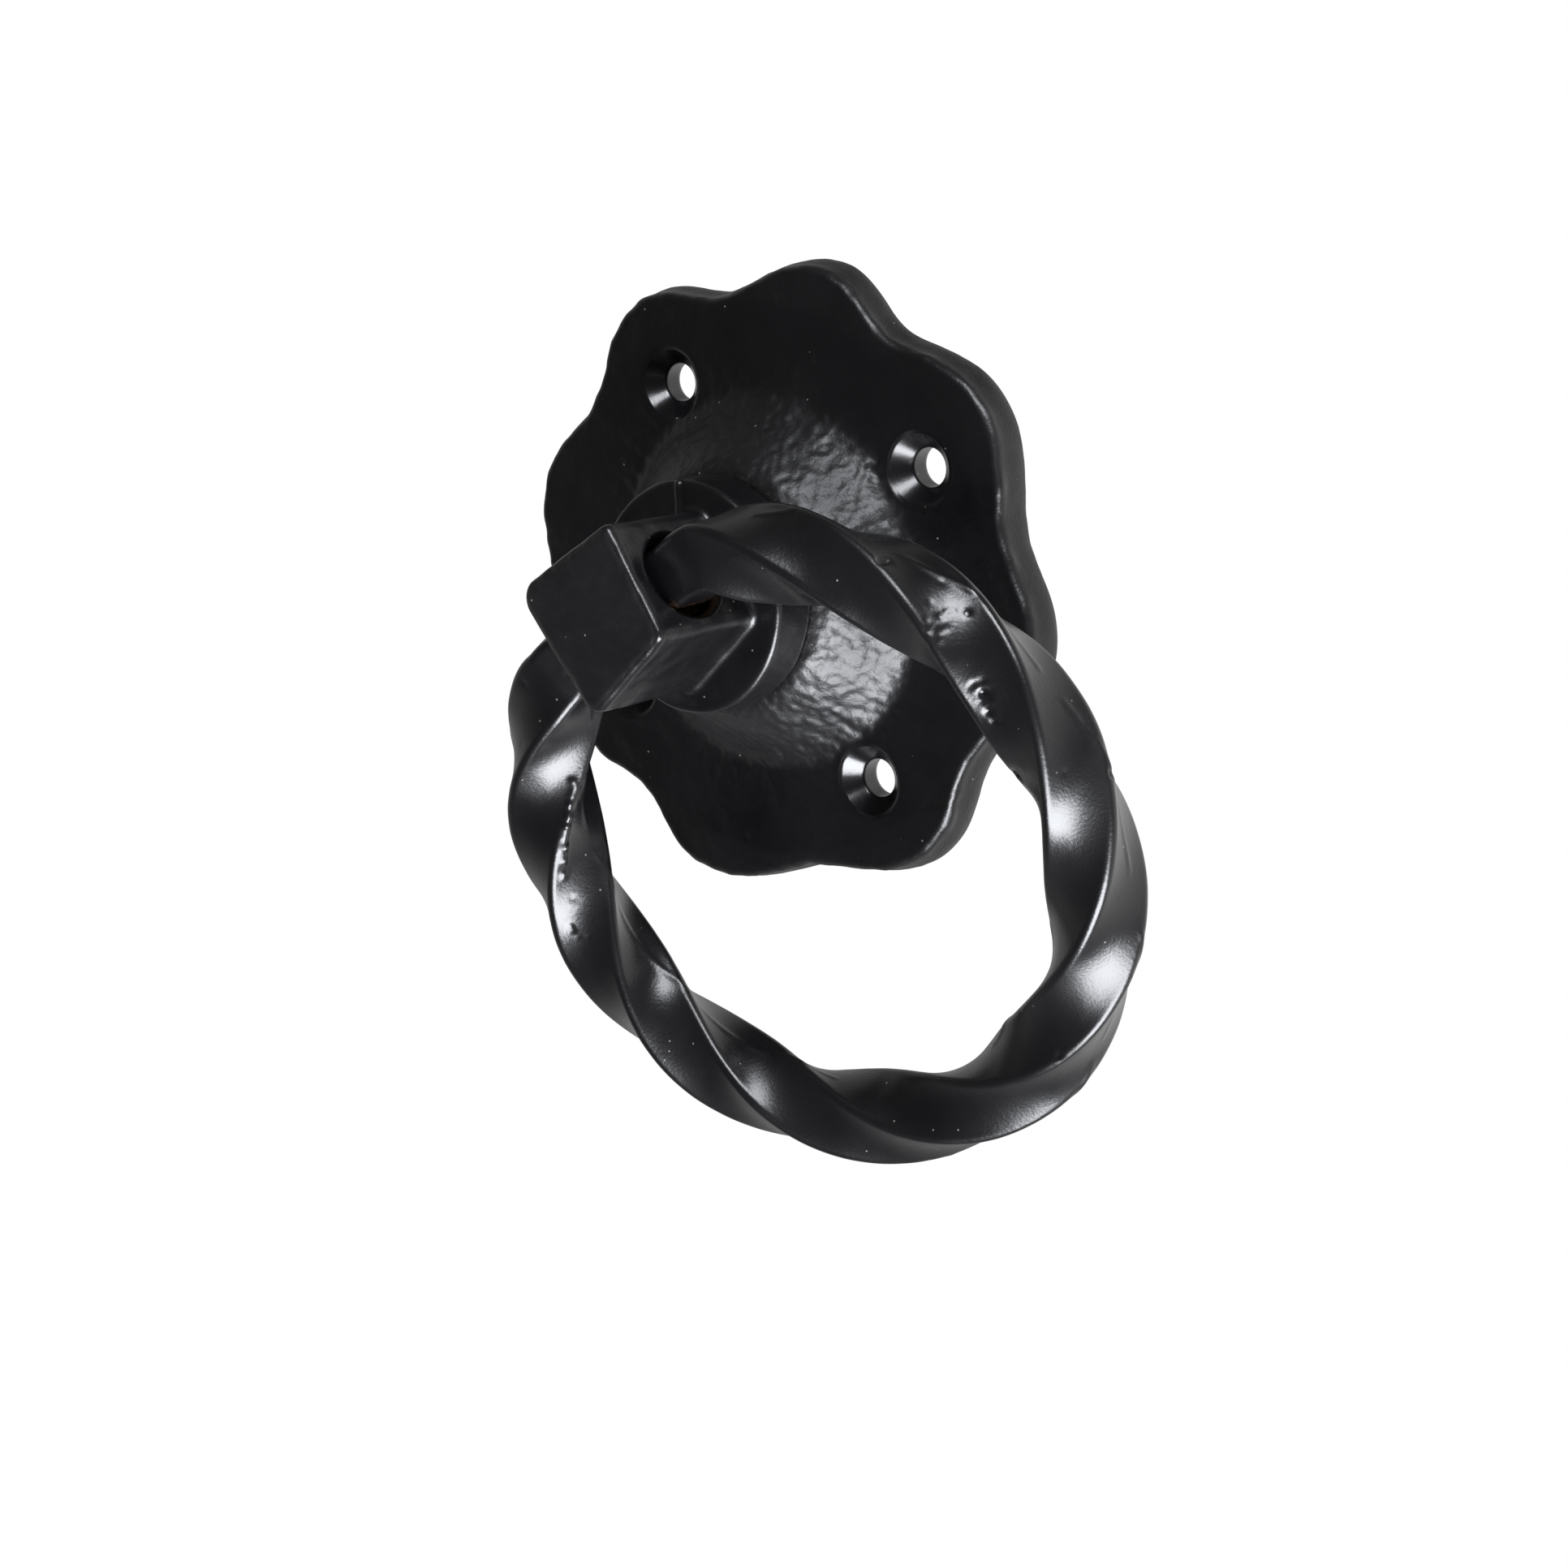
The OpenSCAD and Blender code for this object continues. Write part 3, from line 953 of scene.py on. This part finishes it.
class KNOCKER_OT_boss(bpy.types.Operator):
    """Builds the boss: threaded end, round collar and square head with its cross hole"""

    bl_idname = "knocker.boss"
    bl_label = "Build the boss"

    def execute(self, context):
        boss, finish = context.scene.knocker_boss, context.scene.knocker_finish
        mesh = carve_boss(boss)
        cast_boss(mesh, boss, finish.cast_depth / MM)
        coat = powder_coated_iron("powder_coated_cast_iron_boss", finish)
        place(mesh, "boss", "boss", coat)
        return {"FINISHED"}


# ---- ring ----------------------------------------------------------------------------------

HINGE = 34.85
RIDGE_START = 48.0
BAR_START_X = 8.5
BAR_FULL_ANGLE = 31.0
STRAIGHT_ANGLE = 22.4
BAR_END_SCALE = 0.83
PIN_RADIUS = 5.9
PIN_INNER_X = 1.0
PIN_STEPS = 16
# The pin's end is a little narrower than the pin.
PIN_NOSE = 0.93
RING_STEPS = 780
RING_LUMPS = ((0.9, 9, 2.3), (0.25, 3.1, 6.1))
RING_SEED = 5
RING_DENTS = 50
RING_SKIN = 0.1
PARTING_HEIGHT = 0.16
# How far below the hinge line the bar counts as inside the head, in the ring's own frame.
IN_HEAD_Z = -12
RING_FLAWS = (
    ((44.3, -26.5, 32.7), 3.8, 60, 0.42, 0.2),
    ((43.3, -36.5, 30.4), 1.9, 20, 0.45, 0.26),
    ((41.8, -39.8, 29.2), 2.1, 20, 0.42, 0.3),
    ((41.9, -15.4, 34.2), 0.9, 8, 0.42, 0.45),
    ((37.5, -47.3, 23.8), 1.2, 8, 0.6, 0.3),
    ((49.2, -53.8, 20.3), 0.6, 4, 0.5, 0.2),
    ((18, -82.7, 18.1), 0.6, 5, 0.5, 0.2),
    ((-43.4, -34, 31), 1.8, 12, 0.35, 0.2),
    ((-20, -3.8, 39), 4, 16, 0.35, 0.14),
)
# The beaded flash that the mould's joint left down one ridge: its two ends and its middle.
FLASH_LINE = ((-27.1, -14.5, 33.6), (-33.0, -20.9, 33.9), (-38.4, -26.0, 33.2))
FLASH_BEADS = 34
BEAD_SHARE = 0.4


def ring_stations(ring):
    """Centre, lean, scale and twist of the bar's section all the way round, in degrees and mm."""
    radius, drop = ring.radius / MM, ring.drop / MM
    start = math.degrees(math.asin(BAR_START_X / radius))
    a = np.linspace(start, 360 - start, RING_STEPS)
    near = np.minimum(a, 360 - a)
    blend = ease((near - start) / (BAR_FULL_ANGLE - start))
    rad = np.radians(a)
    below = -(drop - radius * np.cos(rad)) * blend
    centre = np.column_stack([radius * np.sin(rad), np.zeros(len(a)), below])
    lean = np.where(a < 180, a * blend, 360 - (360 - a) * blend)
    scale = BAR_END_SCALE + (1 - BAR_END_SCALE) * blend
    twisted = np.clip(a, STRAIGHT_ANGLE, 360 - STRAIGHT_ANGLE)
    twist = RIDGE_START - 45 - ring.turns * (twisted - 180)
    return centre, np.radians(lean), scale, np.radians(twist)


def turned(flat, angle):
    """A flat section's points turned round its middle."""
    u = flat[:, 0] * math.cos(angle) - flat[:, 1] * math.sin(angle)
    v = flat[:, 0] * math.sin(angle) + flat[:, 1] * math.cos(angle)
    return u, v


def ring_mesh(ring):
    """The twisted bar and the pins at its two ends, as one surface."""
    half, corner = ring.bar_width / MM / 2, ring.bar_round / MM
    section = square_ring(half, corner, 0, 8, 22)[:, :2]
    turn = np.arctan2(section[:, 1], section[:, 0])
    centres, leans, scales, twists = ring_stations(ring)
    rings = []
    for centre, up, scale, twist in zip(centres, leans, scales, twists):
        u, v = turned(scale * section, twist)
        out = np.array([math.sin(up), 0, math.cos(up)])
        rings.append(centre + u[:, None] * out + np.column_stack([v * 0, v, v * 0]))
    first, last = [], []
    wheel = PIN_RADIUS * np.column_stack([np.cos(turn), np.sin(turn)])
    for x in np.linspace(PIN_INNER_X, BAR_START_X, PIN_STEPS)[:-1]:
        # Inside the boss the square rounds off into the pin.
        square = float(ease((x - 6.6) / 1.8))
        flat = scales[0] * section * square + wheel * (1 - square)
        flat = flat * (PIN_NOSE if x == PIN_INNER_X else 1)
        for side, kept, twist in ((1, first, twists[0]), (-1, last, twists[-1])):
            u, v = turned(flat, twist)
            kept.append(np.column_stack([np.full(len(u), side * x), v, u]))
    rings = first + rings + last[::-1]
    points, faces = stack(rings, ends="first last")
    return leaned(ring, np.array(points)), faces


def leaned(ring, points):
    """The ring's points, leaned towards the door, in millimetres with z out of the door.

    In the ring's own frame, x runs along the hinge and z is up.
    """
    c, s = math.cos(ring.lean), math.sin(ring.lean)
    y = points[:, 1] * c - points[:, 2] * s
    up = points[:, 1] * s + points[:, 2] * c
    return np.column_stack([points[:, 0], up, HINGE - y])


def cast_ring(mesh, ring, depth):
    """Casting lumps, pits, the mould's parting line and rubbed ends."""
    p = points_of(mesh)
    x, up, out = p.T
    c, s = math.cos(ring.lean), math.sin(ring.lean)
    y = (HINGE - out) * c + up * s
    z = -(HINGE - out) * s + up * c
    in_boss = ease((10.8 - np.abs(x)) / 1.2) * (z > IN_HEAD_Z)
    cast = 1 - in_boss
    heights = depth * lumps(p, RING_LUMPS) * cast
    seam = np.exp(-((y / 0.4) ** 2)) * ease((soft_noise(p, 8, 8.8) + 0.15) / 0.25) * cast
    heights += PARTING_HEIGHT * seam
    picks = np.random.default_rng(RING_SEED)
    chosen = picks.integers(0, len(p), RING_DENTS)
    size = picks.uniform(0.3, 0.6, RING_DENTS)
    heights += dents(p, p[chosen], size, picks.uniform(0.03, 0.1, RING_DENTS)) * cast
    heights += flaws(p, RING_FLAWS, picks)
    share = np.sort(picks.uniform(0, 2, FLASH_BEADS))
    line = np.column_stack([np.interp(share, (0, 1, 2), axis) for axis in zip(*FLASH_LINE)])
    line += picks.normal(0, 0.12, line.shape)
    beads = picks.uniform(0.32, 0.6, FLASH_BEADS)
    heights -= dents(p, line, beads, BEAD_SHARE * beads)
    raise_surface(mesh, heights - RING_SKIN)
    rubbed = ease((11.2 - np.abs(x)) / 1.4) * (z > IN_HEAD_Z) * ease((0.5 - z) / 3.0)
    paint(mesh, "worn", rubbed * 0.5)
    paint(mesh, "grain", 0.32 + 0.2 * soft_noise(p, 12, 1.1))


class KNOCKER_OT_ring(bpy.types.Operator):
    """Builds the twisted ring with the two pins that swing in the boss"""

    bl_idname = "knocker.ring"
    bl_label = "Build the ring"

    def execute(self, context):
        ring, finish = context.scene.knocker_ring, context.scene.knocker_finish
        mesh = mesh_of("twisted_ring", ring_mesh(ring))
        cast_ring(mesh, ring, finish.cast_depth / MM)
        coat = powder_coated_iron("powder_coated_cast_iron_ring", finish)
        place(mesh, "ring", "ring", coat)
        return {"FINISHED"}


# ---- washers and nut -----------------------------------------------------------------------


WASHER_POINTS = 144
SPRING_STEPS = 150
SPRING_GAP = math.radians(12)
NUT_POINTS = 240
NUT_BEVEL = math.radians(30)
# The nut's thread opens out by this much at both mouths.
NUT_MOUTH = 0.5
# How far the washers' holes clear the thread, and the nut's thread.
WASHER_CLEARANCE = 0.25
NUT_CLEARANCE = 0.03


def lathe_ring(profile):
    """A closed ring turned round the door's normal from a profile of radius and height."""
    rings = [circle(r, h, WASHER_POINTS) for r, h in profile]
    return stack(rings + [rings[0]])


def rounded_profile(inner, outer, low, high, soft):
    """A rectangle of radius and height with soft corners, as a closed loop."""
    corners = ((outer, high, 0), (inner, high, 1), (inner, low, 2), (outer, low, 3))
    profile = []
    for r, h, k in corners:
        cr = r - soft if k in (0, 3) else r + soft
        ch = h - soft if k in (0, 1) else h + soft
        for t in np.linspace(0, math.pi / 2, 5) + k * math.pi / 2:
            profile.append((cr + soft * math.cos(t), ch + soft * math.sin(t)))
    return profile


def spring_mesh(inner, outer, low, high, open_angle):
    """A split ring of soft-cornered bar, with flat ends on each side of its gap."""
    profile = rounded_profile(inner, outer, low, high, 0.3)
    rings = []
    for a in np.linspace(open_angle / 2, 2 * math.pi - open_angle / 2, SPRING_STEPS):
        rings.append([(r * math.cos(a), r * math.sin(a), h) for r, h in profile])
    return stack(rings, ends="first last")


def nut_mesh(flats, thread, low, high):
    """A hexagon nut, chamfered at both faces and at the mouth of its thread."""
    a = np.arange(NUT_POINTS) * 2 * math.pi / NUT_POINTS
    hexagon = flats / 2 / np.cos((a + math.pi / 6) % (math.pi / 3) - math.pi / 6)
    middle, bevel = flats / 2 * 0.97, math.tan(NUT_BEVEL)
    mouth = thread + NUT_MOUTH

    def level(radius, height, sign):
        drop = np.maximum(radius - middle, 0) * bevel
        return np.column_stack([radius * np.cos(a), radius * np.sin(a), height - sign * drop])

    rings = []
    for height, sign, order in ((high, 1, 1), (low, -1, -1)):
        faces = [level(np.full(NUT_POINTS, mouth), height, sign)]
        for t in np.linspace(0.1, 1, 10):
            radius = np.minimum(hexagon, mouth + (flats / math.sqrt(3) - mouth) * t)
            faces.append(level(radius, height, sign))
        rings.extend(faces[::order])
    inside = [circle(thread, h, NUT_POINTS) for h in np.linspace(low, high, 12)]
    for end in (0, -1):
        inside[end][:, :2] *= mouth / thread
    inside[1][:, 2] = low + NUT_MOUTH
    inside[-2][:, 2] = high - NUT_MOUTH
    return stack(rings + inside)


class KNOCKER_OT_fixings(bpy.types.Operator):
    """Builds the plain washer, the spring washer and the nut behind the plate"""

    bl_idname = "knocker.fixings"
    bl_label = "Build the washers and nut"

    def execute(self, context):
        sizes, finish = context.scene.knocker_fixings, context.scene.knocker_finish
        thread = sizes.thread_radius / MM
        hole = thread + WASHER_CLEARANCE
        low, high = -WASHER_HIGH.y / MM, -WASHER_LOW.y / MM
        profile = rounded_profile(hole, sizes.washer_radius / MM, low, high, 0.25)
        washer = mesh_of("plain_washer_pressed", lathe_ring(profile))
        low, high = -SPRING_HIGH.y / MM, -SPRING_LOW.y / MM
        coil = spring_mesh(hole, hole + sizes.spring_width / MM, low, high, SPRING_GAP)
        spring = mesh_of("spring_washer_coiled", coil)
        low, high = -NUT_HIGH.y / MM, -NUT_LOW.y / MM
        hexagon = nut_mesh(sizes.nut_flats / MM, thread + NUT_CLEARANCE, low, high)
        nut = mesh_of("hex_nut_chamfered", hexagon)
        zinc, steel = tuple(finish.zinc), tuple(finish.spring_steel)
        pressed = bright_steel("zinc_plated_steel_pressed", zinc, 0.3, 1.2)
        turned = bright_steel("zinc_plated_steel_forged", zinc, 0.26, 1.0)
        coiled = bright_steel("spring_steel_coiled", steel, 0.36, 1.6)
        place(washer, "plain_washer", "boss", pressed)
        place(spring, "spring_washer", "boss", coiled)
        place(nut, "hex_nut", "boss", turned)
        return {"FINISHED"}


# ---- stage ---------------------------------------------------------------------------------

CAMERA_PLACE = Vector((311.277, -392.047, -107.04)) * MM
CAMERA_RIGHT = Vector((0.63936, 0.63105, -0.43932))
CAMERA_UP = Vector((0.43035, 0.17979, 0.88457))
CAMERA_BACK = Vector((0.63719, -0.75462, -0.15662))
CAMERA_LENS = 78.53
CAMERA_SENSOR = 36
CAMERA_CLIP = (0.01, 50)
LIGHT_DISTANCE = 0.9
# Where each softbox stands, from the camera's side: to its right, up, and back from the knocker.
UPPER_SIDE = (0.06, 0.57, 0.8)
UPPER_SIZE = 0.36
LOWER_SIDE = (0.18, -0.8, 0.55)
LOWER_SIZE = 0.6
COOL_WHITE = (0.93, 0.95, 1.0)
# What the coat mirrors of the surround, towards the right and towards the far side: the cosine
# where it starts and where it ends, and the strength at each.
SIDE_GLOW = (0.3, 0.95, 0.06, 1.2)
BACK_GLOW = (-0.1, 1.0, 0.0, 0.4)


def softbox(name, side, power, size):
    """A square soft light that faces the knocker, in a direction given from the camera's side."""
    data = bpy.data.lights.new(name, "AREA")
    data.shape, data.size, data.energy = "SQUARE", size, power
    data.color = COOL_WHITE
    lamp = bpy.data.objects.new(name, data)
    bpy.context.scene.collection.objects.link(lamp)
    right, up, back = side
    towards = (CAMERA_RIGHT * right + CAMERA_UP * up + CAMERA_BACK * back).normalized()
    lamp.location = towards * LIGHT_DISTANCE
    lamp.rotation_mode = "QUATERNION"
    lamp.rotation_quaternion = towards.to_track_quat("Z", "Y")
    lamp.visible_camera = False
    return lamp


def glow(tree, direction, towards, limits):
    """Light that grows softly towards one direction."""
    side = add_node(
        tree,
        "ShaderNodeVectorMath",
        {"operation": "DOT_PRODUCT", 1: tuple(towards)},
        {0: direction},
    )
    settings = dict(zip(("From Min", "From Max", "To Min", "To Max"), limits))
    settings["interpolation_type"] = "SMOOTHSTEP"
    grown = add_node(tree, "ShaderNodeMapRange", settings, {"Value": side.outputs["Value"]})
    return grown.outputs["Result"]


def white_surround():
    """A white surround, which the black coat mirrors dimly but for its right and far sides."""
    world = bpy.data.worlds.new("white_surround")
    bpy.context.scene.world = world
    world.use_nodes = True
    tree = world.node_tree
    tree.nodes.clear()
    path = add_node(tree, "ShaderNodeLightPath")
    direction = add_node(tree, "ShaderNodeTexCoord").outputs["Generated"]
    to_the_side = (CAMERA_RIGHT * 0.95 - CAMERA_BACK * 0.3).normalized()
    both = add_node(
        tree,
        "ShaderNodeMath",
        {"operation": "ADD"},
        {
            0: glow(tree, direction, to_the_side, SIDE_GLOW),
            1: glow(tree, direction, -CAMERA_BACK, BACK_GLOW),
        },
    )
    strength = add_node(
        tree,
        "ShaderNodeMix",
        {"data_type": "FLOAT", 2: 1.0},
        {0: path.outputs["Is Glossy Ray"], 3: both.outputs[0]},
    )
    sky = add_node(
        tree,
        "ShaderNodeBackground",
        {"Color": (1, 1, 1, 1)},
        {"Strength": strength.outputs[0]},
    )
    add_node(tree, "ShaderNodeOutputWorld", None, {"Surface": sky.outputs["Background"]})


def floor_disc(stage):
    """A plain pale floor, as a disc far enough below that it stays out of the front view."""
    rings = [circle(r, 0, 96) for r in np.linspace(0.2, 1, 6) * stage.floor_size / MM]
    points, faces = stack(rings, ends="first")
    flat = np.array(points) * MM
    flat[:, 2] = -stage.floor_drop
    mesh = bpy.data.meshes.new("floor")
    mesh.from_pydata(flat.tolist(), [], faces)
    floor = bpy.data.objects.new("floor", mesh)
    bpy.context.scene.collection.objects.link(floor)
    material, tree = new_tree("painted_studio_floor")
    paper = add_node(tree, "ShaderNodeBsdfDiffuse", {"Color": stage.floor})
    add_node(tree, "ShaderNodeOutputMaterial", None, {"Surface": paper.outputs["BSDF"]})
    mesh.materials.append(material)
    floor.visible_glossy = False
    return floor


class KNOCKER_OT_stage(bpy.types.Operator):
    """Sets the floor, the soft lights and the camera"""

    bl_idname = "knocker.stage"
    bl_label = "Set the stage"

    def execute(self, context):
        scene, stage = context.scene, context.scene.knocker_stage
        white_surround()
        lamps = [
            softbox("upper_softbox", UPPER_SIDE, stage.upper_power, UPPER_SIZE),
            softbox("lower_softbox", LOWER_SIDE, stage.lower_power, LOWER_SIZE),
        ]
        floor_disc(stage)
        data = bpy.data.cameras.new("camera")
        data.lens, data.sensor_width = CAMERA_LENS, CAMERA_SENSOR
        data.clip_start, data.clip_end = CAMERA_CLIP
        camera = bpy.data.objects.new("camera", data)
        scene.collection.objects.link(camera)
        turn = Matrix((CAMERA_RIGHT, CAMERA_UP, CAMERA_BACK)).transposed().to_4x4()
        camera.matrix_world = Matrix.Translation(CAMERA_PLACE) @ turn
        scene.camera = camera
        scene.view_settings.view_transform = "Standard"
        return {"FINISHED"}


class KNOCKER_PT_panel(bpy.types.Panel):
    """Lists the knocker's pieces, sizes and colours"""

    bl_idname = "KNOCKER_PT_panel"
    bl_label = "Ring Door Knocker"
    bl_space_type = "VIEW_3D"
    bl_region_type = "UI"
    bl_category = "Knocker"

    def draw(self, context):
        for title, group in GROUPS.items():
            box = self.layout.box()
            box.label(text=title.capitalize())
            settings = getattr(context.scene, "knocker_" + title)
            for name in group.__annotations__:
                box.prop(settings, name)
        for operator in OPERATORS:
            self.layout.operator(operator.bl_idname)


GROUPS = {
    "plate": KnockerPlate,
    "boss": KnockerBoss,
    "ring": KnockerRing,
    "fixings": KnockerFixings,
    "finish": KnockerFinish,
    "stage": KnockerStage,
}
OPERATORS = (KNOCKER_OT_plate, KNOCKER_OT_boss, KNOCKER_OT_ring, KNOCKER_OT_fixings, KNOCKER_OT_stage)


def register():
    """Makes the settings, operators and panel known to Blender."""
    for item in (*GROUPS.values(), *OPERATORS, KNOCKER_PT_panel):
        bpy.utils.register_class(item)
    for title, group in GROUPS.items():
        setattr(bpy.types.Scene, "knocker_" + title, PointerProperty(type=group))


def unregister():
    """Takes them away again, in the opposite order."""
    for title in GROUPS:
        delattr(bpy.types.Scene, "knocker_" + title)
    for item in (KNOCKER_PT_panel, *reversed(OPERATORS), *reversed(list(GROUPS.values()))):
        bpy.utils.unregister_class(item)


def main():
    """Builds every piece."""
    register()
    bpy.ops.knocker.plate()
    bpy.ops.knocker.boss()
    bpy.ops.knocker.ring()
    bpy.ops.knocker.fixings()
    bpy.ops.knocker.stage()


if __name__ == "__main__":
    main()
